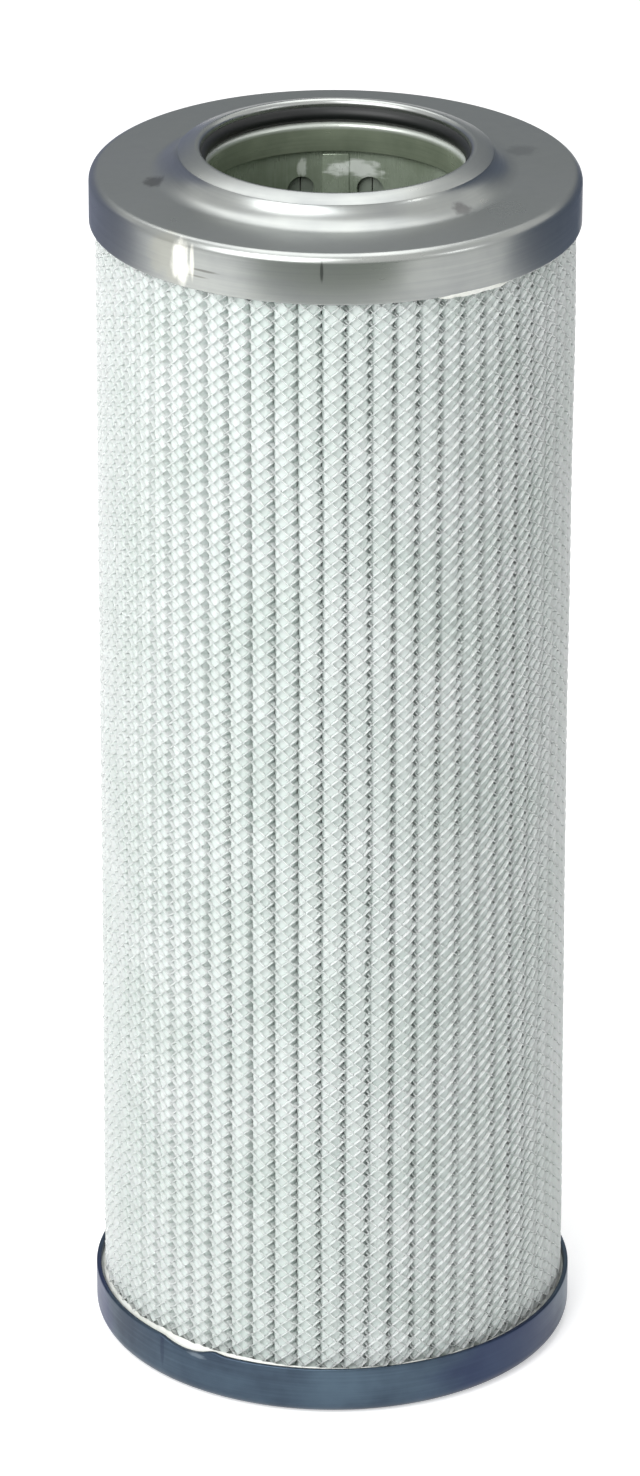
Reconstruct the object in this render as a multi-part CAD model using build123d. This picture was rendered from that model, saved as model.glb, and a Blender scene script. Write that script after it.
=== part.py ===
from build123d import *
import math
import os

# Pleated hydraulic filter element. Millimetres, +Z up, origin at the centre of the base.

# --- Sizes round the axis, from the bore outwards ---
NECK_BORE_RADIUS = 20.6        # the housing's spigot enters here
NECK_WALL = 1.0
CORE_FIT_CLEARANCE = 0.05      # neck inside the core tube
CORE_WALL = 0.8
PACK_FIT_CLEARANCE = 0.05      # core tube inside the pleated pack
PLEAT_DEPTH = 14.9
TOP_PACK_CLEARANCE = 0.6       # pack inside the top skirt
BOTTOM_PACK_CLEARANCE = 1.2    # pack inside the bottom skirt
SHEET = 0.8                    # steel of both caps
BEND_STEPS = 2                 # chords that stand for each round bend

# --- Sizes along the axis, from the base up ---
POTTING_DEPTH = 2.5            # cured adhesive in each cap
PACK_HEIGHT = 194.7
SEAT_FLANGE = 0.8
TOP_SKIRT = 8.05
BOTTOM_SKIRT = 8.3

# --- Top cap ---
TOP_RIM_ROUND = 1.5
COLLAR_RISE = 4.1              # top of the collar above the face
CROWN_WIDTH = 3.5              # collar's top band, lip to crease
CROWN_DROP = 0.8               # the band's fall, top to crease
LIP_OVERHANG = 0.7             # collar's opening beyond the neck bore
LIP_ROUND = 0.8
FLARE_WIDTH = 4.7              # concave sweep from the crease out to the face

# --- Seal and its seat ---
SEAL_SECTION = 2.65
SEAL_SIDES = 8
SEAL_SQUEEZE = 0.15            # the seal stands inside the neck bore by this much
SEAT_RISE = 1.2                # groove floor above the weld flange
SEAT_FIT_CLEARANCE = 0.2       # seat's shoulder inside the collar
SEAT_EDGE = 0.5                # bevel at the mouth of the neck
NECK_DEPTH = 4.9               # groove floor to the neck's lower end
WELD_FLANGE_WIDTH = 4.6

# --- Bottom cap ---
BOTTOM_EDGE_ROUND = 2.3
POTTING_RISE = 3.7             # adhesive drawn up between pack and skirt
DENT_DEPTH = 1.0
DENT_TOOL_RADIUS = 12.0
DENT_ANGLE = -128.5            # degrees about Z from +X

# --- Pleated pack ---
ROOT_PITCH = 2.45              # room round the core for one fold at the pleats' roots
PACK_TURN = -1.75              # degrees, about Z
FOLD_GAP = 0.9                 # inside a pleat, between its flanks at the crest
FOLD_LAND = 1.6                # the crest's flat top, between its two bevels
FOLD_SHOULDER = 0.6            # the bevels' fall, outside
FOLD_CROWN = 0.35              # extra thickness of the net where the crest bends
NET_THICKNESS = 0.35
MEDIUM_THICKNESS = 0.45
INNER_NET_THICKNESS = 0.3
SEAM_FILL = 0.9                # share of that valley's depth that the bead fills

# --- Core tube ---
HOLE_SIZE = 5.0                # across the corners
HOLE_COUNT = 12                # in each row; alternate rows are staggered
ROW_COUNT = 6
HOLE_MARGIN = 9.5              # tube's end to the nearest row
LOCK_SEAM_WIDTH = 4.4
LOCK_SEAM_THICKNESS = 0.6
LOCK_SEAM_SIDE = 6             # the flat that carries the seam
LOCK_SEAM_CLEARANCE = 0.5      # below the neck

# --- Worked-out places ---
CORE_SIDES = 2 * HOLE_COUNT
CORE_INNER = NECK_BORE_RADIUS + NECK_WALL + CORE_FIT_CLEARANCE
CORE_OUTER = CORE_INNER + CORE_WALL
PACK_THICKNESS = NET_THICKNESS + MEDIUM_THICKNESS + INNER_NET_THICKNESS
PACK_INNER = CORE_OUTER / math.cos(math.pi / CORE_SIDES) + PACK_FIT_CLEARANCE
PACK_OUTER = PACK_INNER + PLEAT_DEPTH
PLEAT_COUNT = int(2 * math.pi * (PACK_INNER + PACK_THICKNESS) / ROOT_PITCH)
SEAM_VALLEY = PLEAT_COUNT // 4  # the valley at the back that the pack's two ends form
TOP_BORE = PACK_OUTER + TOP_PACK_CLEARANCE
TOP_RADIUS = TOP_BORE + SHEET
BOTTOM_BORE = PACK_OUTER + BOTTOM_PACK_CLEARANCE
BOTTOM_RADIUS = BOTTOM_BORE + SHEET
PACK_BASE = SHEET + POTTING_DEPTH
PACK_TOP = PACK_BASE + PACK_HEIGHT
FLANGE_UNDER = PACK_TOP + POTTING_DEPTH
FACE_UNDER = FLANGE_UNDER + SEAT_FLANGE
FACE_TOP = FACE_UNDER + SHEET
GROOVE_FLOOR = FACE_UNDER + SEAT_RISE
NECK_END = GROOVE_FLOOR - NECK_DEPTH
LIP_RADIUS = NECK_BORE_RADIUS + LIP_OVERHANG
CREASE_RADIUS = LIP_RADIUS + CROWN_WIDTH
FLARE_RADIUS = CREASE_RADIUS + FLARE_WIDTH
CREASE_RISE = COLLAR_RISE - CROWN_DROP
FLARE_SWEEP = 2 * math.atan2(CREASE_RISE, FLARE_WIDTH)
FLARE_ROUND = FLARE_WIDTH / math.sin(FLARE_SWEEP)
COLLAR_FOOT = FLARE_RADIUS - (FLARE_ROUND + SHEET) * math.tan(FLARE_SWEEP / 2)


def turned(*points):
    """Turn a closed outline of (radius, height) points about the Z axis."""
    return revolve(Plane.XZ * make_face(Polyline(*points, close=True)), Axis.Z)


def bend(centre, radius, start, sweep):
    """Points along a round bend, from a start angle in degrees through a sweep."""
    arc = CenterArc(centre, radius, start, sweep)
    return [(point.X, point.Y) for point in (arc @ (step / BEND_STEPS) for step in range(BEND_STEPS + 1))]


def core_outline(apothem):
    """Many-sided section of the core tube, with a flat facing +X."""
    return RegularPolygon(apothem, CORE_SIDES, major_radius=False, rotation=180 / CORE_SIDES)


def top_end_cap():
    """Pressed cap: skirt, rounded rim, flat face and the collar that hoods the seal."""
    crown_slope = math.atan2(CROWN_DROP, CROWN_WIDTH - LIP_ROUND)
    crown_top = FACE_TOP + COLLAR_RISE
    lip_under = crown_top + LIP_ROUND * math.tan(crown_slope) - SHEET / math.cos(crown_slope)
    # inside, the bends are sharp: each corner is where the offsets of its two neighbours meet
    lean = (FLARE_SWEEP + crown_slope) / 2
    reach = SHEET / math.cos((FLARE_SWEEP - crown_slope) / 2)
    crease_under = (CREASE_RADIUS - reach * math.sin(lean), FACE_TOP + CREASE_RISE - reach * math.cos(lean))
    rim_centre = (TOP_RADIUS - TOP_RIM_ROUND, FACE_TOP - TOP_RIM_ROUND)
    flare_centre = (FLARE_RADIUS, FACE_TOP + FLARE_ROUND)
    return turned(
        (TOP_RADIUS, FACE_TOP - TOP_SKIRT),
        *bend(rim_centre, TOP_RIM_ROUND, 0, 90),
        *bend(flare_centre, FLARE_ROUND, 270, -math.degrees(FLARE_SWEEP)),
        (LIP_RADIUS + LIP_ROUND, crown_top),
        (LIP_RADIUS, crown_top - LIP_ROUND / 2),
        (LIP_RADIUS, lip_under),
        crease_under,
        (COLLAR_FOOT, FACE_UNDER),
        (TOP_BORE, FACE_UNDER),
        (TOP_BORE, FACE_TOP - TOP_SKIRT),
    )


def seal_seat_ring():
    """Turned ring: the neck bore, the groove floor and the flange welded under the cap's face."""
    shoulder = COLLAR_FOOT - SEAT_FIT_CLEARANCE
    neck_outer = NECK_BORE_RADIUS + NECK_WALL
    return turned(
        (NECK_BORE_RADIUS, NECK_END),
        (neck_outer, NECK_END),
        (neck_outer, FLANGE_UNDER),
        (shoulder + WELD_FLANGE_WIDTH, FLANGE_UNDER),
        (shoulder + WELD_FLANGE_WIDTH, FACE_UNDER),
        (shoulder, FACE_UNDER),
        (shoulder - SEAT_RISE, GROOVE_FLOOR),
        (NECK_BORE_RADIUS + SEAT_EDGE, GROOVE_FLOOR),
        (NECK_BORE_RADIUS, GROOVE_FLOOR - SEAT_EDGE),
    )


def o_ring():
    """Nitrile ring on the groove floor; a many-sided section stands for the round one."""
    radius = SEAL_SECTION / 2
    centre = (NECK_BORE_RADIUS - SEAL_SQUEEZE + radius, GROOVE_FLOOR + radius)
    section = RegularPolygon(radius, SEAL_SIDES, major_radius=False, rotation=180 / SEAL_SIDES)
    return revolve(Plane.XZ * Pos(*centre) * section, Axis.Z)


def top_potting():
    """Adhesive between the core tube and the skirt, under the seat ring's flange."""
    section = Circle(TOP_BORE) - core_outline(CORE_OUTER)
    return Pos(0, 0, PACK_TOP) * extrude(section, POTTING_DEPTH)


def bottom_potting():
    """Adhesive over the floor of the blind cap, drawn up between the pack and the skirt."""
    floor = Pos(0, 0, SHEET) * extrude(Circle(BOTTOM_BORE), POTTING_DEPTH)
    upstand = Circle(BOTTOM_BORE) - Circle(PACK_OUTER + PACK_FIT_CLEARANCE)
    return floor + Pos(0, 0, PACK_BASE) * extrude(upstand, POTTING_RISE)


def bottom_end_cap():
    """Blind pressed cup, with the knock in its rim."""
    edge_centre = (BOTTOM_RADIUS - BOTTOM_EDGE_ROUND, BOTTOM_EDGE_ROUND)
    cup = turned(
        (0, 0),
        *bend(edge_centre, BOTTOM_EDGE_ROUND, 270, 90),
        (BOTTOM_RADIUS, BOTTOM_SKIRT),
        (BOTTOM_BORE, BOTTOM_SKIRT),
        (BOTTOM_BORE, SHEET),
        (0, SHEET),
    )
    tool = Rot(0, 90, 0) * Cylinder(DENT_TOOL_RADIUS, 4 * SHEET)
    return cup - Rot(0, 0, DENT_ANGLE) * Pos(BOTTOM_RADIUS, 0, BOTTOM_SKIRT - DENT_DEPTH + DENT_TOOL_RADIUS) * tool


def fold_line(depth):
    """One flank, from its crest corner to its root corner, at this depth below the pack's outer face."""
    half_pitch = math.pi / PLEAT_COUNT
    axis = (math.cos(half_pitch), math.sin(half_pitch))
    fold_base = PACK_INNER + PACK_THICKNESS
    shoulder = (PACK_OUTER - FOLD_SHOULDER, PACK_THICKNESS + FOLD_GAP / 2)
    run = (fold_base * axis[0] - shoulder[0], fold_base * axis[1] - shoulder[1])
    along = (run[0] / math.hypot(*run), run[1] / math.hypot(*run))
    flank = (shoulder[0] - depth * along[1], shoulder[1] + depth * along[0])
    crest_level = shoulder[0] if depth == 0 else PACK_OUTER - FOLD_CROWN - depth
    to_crest = (crest_level - flank[0]) / along[0]
    ahead = flank[0] * axis[0] + flank[1] * axis[1]
    to_root = (fold_base - depth - ahead) / (along[0] * axis[0] + along[1] * axis[1])
    return [(flank[0] + step * along[0], flank[1] + step * along[1]) for step in (to_crest, to_root)]


def fold_outline(depth):
    """The closed pleated outline at this depth below the pack's outer face."""
    crest, root = fold_line(depth)
    if depth == 0:
        pleat = [(crest[0], -crest[1]), (PACK_OUTER, -FOLD_LAND / 2), (PACK_OUTER, FOLD_LAND / 2), crest, root]
    else:
        pleat = [(root[0], -root[1]), (crest[0], -crest[1]), crest, root]
    points = []
    for place in range(PLEAT_COUNT):
        turn = PACK_TURN + 360 / PLEAT_COUNT * place
        points += [Vector(x, y).rotate(Axis.Z, turn) for x, y in pleat]
    return make_face(Polyline(*points, close=True))


def pleated_sheet(outer_depth, inner_depth):
    """One sheet of the pack, between two depths below its outer face."""
    section = fold_outline(outer_depth) - fold_outline(inner_depth)
    return Pos(0, 0, PACK_BASE) * extrude(section, PACK_HEIGHT)


def outer_support_net():
    """The coarse net outside, which carries the pleats' look."""
    return pleated_sheet(0, NET_THICKNESS)


def filter_medium():
    """Glass fibre laminated to its fleeces, as one sheet."""
    return pleated_sheet(NET_THICKNESS, NET_THICKNESS + MEDIUM_THICKNESS)


def inner_support_net():
    """The drainage net against the core tube."""
    return pleated_sheet(NET_THICKNESS + MEDIUM_THICKNESS, PACK_THICKNESS)


def side_seam_bead():
    """Adhesive that fills the valley at the back, where the pack's two ends meet."""
    crest, root = fold_line(0)
    lip = (root[0] + SEAM_FILL * (crest[0] - root[0]), root[1] + SEAM_FILL * (crest[1] - root[1]))
    pitch = 360 / PLEAT_COUNT
    turn = PACK_TURN + SEAM_VALLEY * pitch
    near = [Vector(*point).rotate(Axis.Z, turn) for point in (lip, root)]
    far = Vector(lip[0], -lip[1]).rotate(Axis.Z, turn + pitch)
    return Pos(0, 0, PACK_BASE) * extrude(make_face(Polyline(*near, far, close=True)), PACK_HEIGHT)


def core_tube():
    """Perforated tube with staggered holes and a lock seam inside."""
    height = FLANGE_UNDER - PACK_BASE
    tube = extrude(core_outline(CORE_OUTER) - core_outline(CORE_INNER), height)
    side = 360 / CORE_SIDES
    hole = Plane.YZ * extrude(RegularPolygon(HOLE_SIZE / 2, 6), CORE_OUTER + CORE_WALL)
    row_pitch = (height - 2 * HOLE_MARGIN) / (ROW_COUNT - 1)
    holes = [
        Rot(0, 0, flat * side) * Pos(0, 0, HOLE_MARGIN + row * row_pitch) * hole
        for row in range(ROW_COUNT)
        for flat in range(row % 2, CORE_SIDES, 2)
        if flat != LOCK_SEAM_SIDE
    ]
    seam_height = NECK_END - LOCK_SEAM_CLEARANCE - PACK_BASE
    seam = Pos(CORE_INNER, 0, seam_height / 2) * Box(2 * LOCK_SEAM_THICKNESS, LOCK_SEAM_WIDTH, seam_height)
    return Pos(0, 0, PACK_BASE) * (tube - holes + Rot(0, 0, LOCK_SEAM_SIDE * side) * seam)


PIECES = [
    top_end_cap,
    seal_seat_ring,
    o_ring,
    top_potting,
    outer_support_net,
    filter_medium,
    inner_support_net,
    side_seam_bead,
    core_tube,
    bottom_potting,
    bottom_end_cap,
]

if __name__ == "__main__":
    os.makedirs("parts", exist_ok=True)
    for build in PIECES:
        export_step(build(), f"parts/{build.__name__}.step")
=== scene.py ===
"""Dresses a pleated hydraulic filter element: steel end caps, seal, folded net and the studio round it.

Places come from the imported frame. Sizes that the frame doesn't give are fields of the class that
uses them, in millimetres, and become metres only where a mesh is made.
"""

from __future__ import annotations

import logging
import math
from collections.abc import Callable, Mapping, Sequence
from dataclasses import dataclass, field
from enum import Enum
from functools import cache, partial
from typing import Any

import bmesh
import bpy
from mathutils import Matrix, Vector, noise

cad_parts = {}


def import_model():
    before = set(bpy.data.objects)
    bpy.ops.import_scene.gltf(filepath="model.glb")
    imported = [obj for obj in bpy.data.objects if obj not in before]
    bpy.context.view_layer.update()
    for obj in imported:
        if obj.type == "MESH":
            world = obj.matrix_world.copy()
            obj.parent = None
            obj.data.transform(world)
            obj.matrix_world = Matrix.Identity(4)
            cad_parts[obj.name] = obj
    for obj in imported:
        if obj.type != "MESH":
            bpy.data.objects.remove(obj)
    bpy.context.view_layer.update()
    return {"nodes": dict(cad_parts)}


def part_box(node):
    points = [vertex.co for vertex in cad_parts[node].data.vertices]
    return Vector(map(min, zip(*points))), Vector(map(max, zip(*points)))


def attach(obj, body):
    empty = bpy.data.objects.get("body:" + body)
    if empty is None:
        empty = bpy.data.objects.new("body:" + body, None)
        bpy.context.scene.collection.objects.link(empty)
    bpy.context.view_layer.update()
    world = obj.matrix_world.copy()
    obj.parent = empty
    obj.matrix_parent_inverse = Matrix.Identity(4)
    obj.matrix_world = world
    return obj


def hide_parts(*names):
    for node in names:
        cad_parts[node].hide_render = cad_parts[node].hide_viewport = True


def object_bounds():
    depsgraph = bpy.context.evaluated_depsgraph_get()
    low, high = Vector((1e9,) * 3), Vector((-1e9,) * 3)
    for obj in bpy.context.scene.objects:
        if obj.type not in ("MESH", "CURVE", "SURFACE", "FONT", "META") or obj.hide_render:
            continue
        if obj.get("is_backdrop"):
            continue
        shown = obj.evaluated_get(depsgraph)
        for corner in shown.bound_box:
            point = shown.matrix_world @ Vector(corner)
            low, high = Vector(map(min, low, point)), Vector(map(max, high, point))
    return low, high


log = logging.getLogger("filter_element")

MM = 0.001
BODY = "root"
PLEATS = 61
HALF_PITCH = math.pi / PLEATS
PACK_TURN = math.radians(-1.75)

# Kinds of node that come up again and again
MATH = "ShaderNodeMath"
VECTOR_MATH = "ShaderNodeVectorMath"
NOISE = "ShaderNodeTexNoise"
MAP_RANGE = "ShaderNodeMapRange"
MIX = "ShaderNodeMix"
MIX_FIRST, MIX_SECOND, MIX_RESULT = 6, 7, 2    # the places of a Mix node's colour sockets
JOIN_XYZ = "ShaderNodeCombineXYZ"
SPLIT_XYZ = "ShaderNodeSeparateXYZ"
SET_PLACE = "GeometryNodeSetPosition"
MAKE_REAL = "GeometryNodeRealizeInstances"

Point = tuple[float, float]
Links = Mapping[str | int, Any]
Feed = Any    # a node, whose first output is meant, or one of its sockets
Adder = Callable[..., bpy.types.Node]


# --- Shared helpers ---


def linear(colour: str) -> tuple[float, float, float, float]:
    """Turns an sRGB hex colour to linear RGBA.

    Args:
        colour: Six hex digits after a hash.

    Returns:
        Red, green, blue and an alpha of 1.
    """
    parts = (int(colour[place : place + 2], 16) / 255 for place in (1, 3, 5))
    red, green, blue = (
        part / 12.92 if part <= 0.04045 else ((part + 0.055) / 1.055) ** 2.4 for part in parts
    )
    return red, green, blue, 1.0


def add_node(
    tree: bpy.types.NodeTree, kind: str, settings: str | Links = "", inputs: Links | Sequence[Any] = ()
) -> bpy.types.Node:
    """Adds a node with its settings and its links.

    Args:
        tree: The tree that gets the node.
        kind: Blender's identifier of the node.
        settings: Attributes of the node by name, or its operation alone.
        inputs: Values, or what to link from, in order or by the input's name or number.

    Returns:
        The new node.
    """
    node = tree.nodes.new(kind)
    if isinstance(settings, str):
        settings = {"operation": settings} if settings else {}
    for name, value in settings.items():
        setattr(node, name, value)
    for name, value in inputs.items() if isinstance(inputs, Mapping) else enumerate(inputs):
        source = value.outputs[0] if isinstance(value, bpy.types.Node) else value
        if isinstance(source, bpy.types.NodeSocket):
            tree.links.new(source, node.inputs[name])
        else:
            node.inputs[name].default_value = source
    return node


def empty_tree(owner: bpy.types.Material | bpy.types.World) -> bpy.types.NodeTree:
    """Switches on the nodes of a material or world and clears them.

    Args:
        owner: The material or world.

    Returns:
        Its empty tree.
    """
    owner.use_nodes = True
    owner.node_tree.nodes.clear()
    return owner.node_tree


def add_object(data: bpy.types.ID, finish: Finish | None = None) -> bpy.types.Object:
    """Links a mesh, lamp or camera to the scene at the origin, under its own name.

    Args:
        data: The mesh, lamp or camera.
        finish: A mesh's finish, unless it has its material already.

    Returns:
        The object.
    """
    if finish:
        data.materials.append(finish.material())
    linked = bpy.data.objects.new(data.name, data)
    bpy.context.scene.collection.objects.link(linked)
    return linked


def hand_over(piece: bpy.types.Object, slot: str, *nodes: str) -> None:
    """Makes a piece ride with the element and stands it for CAD nodes.

    Args:
        piece: The finished piece.
        slot: The record's material slot; not used.
        nodes: The CAD nodes that it stands for, if any.
    """
    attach(piece, BODY)
    if nodes:
        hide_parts(*nodes)
    log.info("%s: %d faces, for %s", piece.name, len(piece.data.polygons), ", ".join(nodes) or "no node")


def settle(piece: bpy.types.Object, tree: bpy.types.GeometryNodeTree, values: Mapping[str, Any]) -> None:
    """Runs a geometry tree on a piece and keeps the result as plain mesh.

    Args:
        piece: The object whose mesh the tree reads.
        tree: The tree.
        values: Its inputs by name.
    """
    modifier = piece.modifiers.new(tree.name, "NODES")
    modifier.node_group = tree
    for item in tree.interface.items_tree:
        if item.item_type == "SOCKET" and item.in_out == "INPUT" and item.name in values:
            modifier[item.identifier] = values[item.name]
    depsgraph = bpy.context.evaluated_depsgraph_get()
    result = bpy.data.meshes.new_from_object(piece.evaluated_get(depsgraph), depsgraph=depsgraph)
    piece.modifiers.remove(modifier)
    spent, piece.data = piece.data, result
    bpy.data.meshes.remove(spent)


def new_geometry_tree(name: str, sockets: Mapping[str, Sequence[str]]) -> bpy.types.GeometryNodeTree:
    """Makes a geometry tree with a mesh in and out, and named inputs.

    Args:
        name: The tree's name.
        sockets: The names of its inputs, by their type.

    Returns:
        The tree, with no nodes yet.
    """
    tree = bpy.data.node_groups.new(name, "GeometryNodeTree")
    for way in ("OUTPUT", "INPUT"):
        tree.interface.new_socket("Geometry", in_out=way, socket_type="NodeSocketGeometry")
    for kind, labels in sockets.items():
        for label in labels:
            tree.interface.new_socket(label, in_out="INPUT", socket_type=f"NodeSocket{kind}")
    return tree


def arc(centre: Point, radius: float, start: float, sweep: float, steps: int = 10) -> list[Point]:
    """Points of a round bend, from a start angle in degrees through a sweep."""
    angles = (math.radians(start + sweep * step / steps) for step in range(steps + 1))
    return [(centre[0] + radius * math.cos(angle), centre[1] + radius * math.sin(angle)) for angle in angles]


def polar(radius: float, angle: float, height: float) -> tuple[float, float, float]:
    """A point in metres, from its radius and height in millimetres and its angle in radians."""
    return radius * math.cos(angle) * MM, radius * math.sin(angle) * MM, height * MM


def stitch(
    shell: bmesh.types.BMesh, lower: Sequence[bmesh.types.BMVert], upper: Sequence[bmesh.types.BMVert]
) -> None:
    """Closes the band between two loops of points, either of which may be a single pole.

    Args:
        shell: The working mesh.
        lower: One loop.
        upper: The other.
    """
    for turn in range(max(len(lower), len(upper))):
        corners = []
        for loop, step in ((lower, turn), (lower, turn + 1), (upper, turn + 1), (upper, turn)):
            corner = loop[step % len(loop)]
            if corner not in corners:
                corners.append(corner)
        if len(corners) > 2:
            shell.faces.new(corners)


def lathe(name: str, outline: Sequence[Point], segments: int = 288) -> bpy.types.Mesh:
    """Turns a closed outline about the Z axis.

    Args:
        name: The mesh's name.
        outline: Radius and height of each point, in millimetres. Points on the axis become one pole each.
        segments: Steps round the axis.

    Returns:
        A closed, smooth-shaded mesh whose normals point outwards.
    """
    shell = bmesh.new()
    rings = []
    for radius, height in outline:
        angles = (math.tau * turn / segments for turn in range(segments if radius else 1))
        rings.append([shell.verts.new(polar(radius, angle, height)) for angle in angles])
    for ring, following in zip(rings, rings[1:] + rings[:1]):
        stitch(shell, ring, following)
    return keep(name, shell)


def keep(name: str, shell: bmesh.types.BMesh, sharp: float = 32) -> bpy.types.Mesh:
    """Turns a working mesh to a kept one, smooth except at sharp edges, with its normals outwards.

    Args:
        name: The mesh's name.
        shell: The working mesh, which is freed.
        sharp: The least angle of a sharp edge, in degrees.

    Returns:
        The mesh.
    """
    bmesh.ops.recalc_face_normals(shell, faces=shell.faces)
    for face in shell.faces:
        face.smooth = True
    for edge in shell.edges:
        edge.smooth = edge.is_manifold and edge.calc_face_angle(0) < math.radians(sharp)
    mesh = bpy.data.meshes.new(name)
    shell.to_mesh(mesh)
    shell.free()
    return mesh


@dataclass(frozen=True)
class Span:
    """Reach of one CAD node, in millimetres."""

    radius: float
    base: float
    top: float

    @classmethod
    def of(cls, node: str) -> Span:
        """Reads a node's reach from the frame."""
        low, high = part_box(node)
        return cls(radius=max(high.x, high.y, -low.x, -low.y) / MM, base=low.z / MM, top=high.z / MM)


# --- Finishes ---


class Lay(Enum):
    """Which way a metal's fine lines run."""

    ROUND = (0.02, 0.02, 1.0)      # turned: lines run round the axis
    UPRIGHT = (1.0, 1.0, 0.04)     # drawn: lines run down the wall


@dataclass(frozen=True)
class Mark:
    """One worn or soiled spot on a metal skin, or one spot of painted highlight or painted shade.

    Attributes:
        place: Its centre, in millimetres.
        reach: Half its size along each axis, in millimetres.
        colour: What it turns the metal to.
        strength: How much of that shows at its centre.
        ragged: How far its edge breaks up, from 0 to 1.
    """

    place: tuple[float, float, float]
    reach: tuple[float, float, float]
    colour: str
    strength: float
    ragged: float = 0.5


MARK_FULL = 0.45    # a mark keeps its strength to this share of its reach
MARK_FRAY = 1.6     # how far full raggedness moves its edge


class Finish:
    """Any finish: it has a name and a way to shade, and its material is built only once.

    Attributes:
        name: The material's name.
    """

    name: str

    def shade(self, add: Adder, place: Feed) -> bpy.types.Node:
        """Builds the nodes up to the shader.

        Args:
            add: Adds a node to the material's tree.
            place: Object coordinates.

        Returns:
            The shader.
        """
        raise NotImplementedError

    @cache
    def material(self) -> bpy.types.Material:
        """Builds the finish.

        Returns:
            Its material.
        """
        material = bpy.data.materials.new(self.name)
        add = partial(add_node, empty_tree(material))
        shader = self.shade(add, add("ShaderNodeTexCoord").outputs["Object"])
        add("ShaderNodeOutputMaterial", inputs=(shader,))
        return material


def two_tones(add: Adder, factor: Feed, reach: Point, deep: str, pale: str) -> tuple[Feed, Feed]:
    """Mixes two colours by how far a factor has come through its reach.

    Args:
        add: Adds a node to the material's tree.
        factor: What sets the mix.
        reach: Its values for the deep colour and for the pale one.
        deep: sRGB hex of the deep colour.
        pale: sRGB hex of the pale one.

    Returns:
        The share of the pale colour, from 0 to 1, and the mixed colour.
    """
    share = add(MAP_RANGE, inputs={"Value": factor, "From Min": reach[0], "From Max": reach[1]})
    mixed = add(MIX, {"data_type": "RGBA"}, {
        "Factor": share, MIX_FIRST: linear(deep), MIX_SECOND: linear(pale),
    })
    return share, mixed.outputs[MIX_RESULT]


@dataclass(frozen=True)
class SteelFinish(Finish):
    """Sheet steel under a thin metal coat or oil film: grey, semi-bright, with lines from its forming.

    Attributes:
        name: The material's name.
        clean: Colour of the brighter patches.
        dull: Colour of the duller patches.
        roughness: Lowest and highest roughness.
        lay: Which way the fine lines run.
        patch: Size of the duller patches, in millimetres.
        line: Spacing of the fine lines, in millimetres, coarser than real ones so that they show.
        relief: Depth of those lines, in millimetres.
        metallic: 1 for bare metal, less where a film of oil or oxide covers it.
        marks: Worn and soiled spots, and spots of painted highlight and painted shade.
        lined: How much the fine lines show in the patches.
        tones: The patches' values for the dull colour and for the clean one.
    """

    name: str
    clean: str
    dull: str
    roughness: tuple[float, float]
    lay: Lay
    patch: float = 16.0
    line: float = 0.5
    relief: float = 0.01
    metallic: float = 1.0
    marks: tuple[Mark, ...] = ()
    lined: float = 0.35
    tones: Point = (0.45, 0.9)

    def shade(self, add: Adder, place: Feed) -> bpy.types.Node:
        """Builds the nodes up to the shader.

        Args:
            add: Adds a node to the material's tree.
            place: Object coordinates.

        Returns:
            The shader.
        """
        cloud = add(NOISE, inputs={
            "Vector": place, "Scale": 1 / (self.patch * MM), "Detail": 4.0, "Roughness": 0.55,
        })
        drawn = add(VECTOR_MATH, "MULTIPLY", (place, self.lay.value))
        lines = add(NOISE, inputs={
            "Vector": drawn, "Scale": 1 / (self.line * MM), "Detail": 3.0, "Roughness": 0.6,
        })
        patches = add(MATH, "MULTIPLY_ADD", (lines, self.lined, cloud))
        share, colour = two_tones(add, patches, self.tones, self.dull, self.clean)
        smooth, rough = self.roughness
        for mark in self.marks:
            colour = self.lay_soil_or_painted_light(add, place, colour, mark)
        bump = add("ShaderNodeBump", inputs={"Height": lines, "Distance": self.relief * MM, "Strength": 1.0})
        return add("ShaderNodeBsdfPrincipled", inputs={
            "Metallic": self.metallic, "Base Color": colour, "Normal": bump,
            "Roughness": add(MAP_RANGE, inputs={"Value": share, "To Min": rough, "To Max": smooth}),
        })

    @staticmethod
    def lay_soil_or_painted_light(add: Adder, place: Feed, colour: Feed, mark: Mark) -> Feed:
        """Lays one mark over a colour, be it soil, wear, painted highlight or painted shade.

        Args:
            add: Adds a node to the material's tree.
            place: Object coordinates.
            colour: The colour so far.
            mark: The mark.

        Returns:
            The colour with the mark on it.
        """
        centre, reach = (tuple(part * MM for part in parts) for parts in (mark.place, mark.reach))
        low = add(VECTOR_MATH, "SUBTRACT", (place, centre))
        near = add(VECTOR_MATH, "DIVIDE", (low, reach))
        far = add(VECTOR_MATH, "LENGTH", (near,)).outputs["Value"]
        frayed = add(NOISE, inputs={"Vector": near, "Scale": 2.2, "Detail": 3.0})
        edge = add(MATH, "MULTIPLY_ADD", (frayed, mark.ragged * MARK_FRAY, far))
        middle = mark.ragged * MARK_FRAY / 2
        share = add(MAP_RANGE, {"interpolation_type": "SMOOTHSTEP"}, {
            "Value": edge, "From Min": MARK_FULL + middle, "From Max": 1.0 + middle,
            "To Min": mark.strength, "To Max": 0.0,
        })
        return add(MIX, {"data_type": "RGBA"}, {
            "Factor": share, MIX_FIRST: colour, MIX_SECOND: linear(mark.colour),
        }).outputs[MIX_RESULT]


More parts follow.
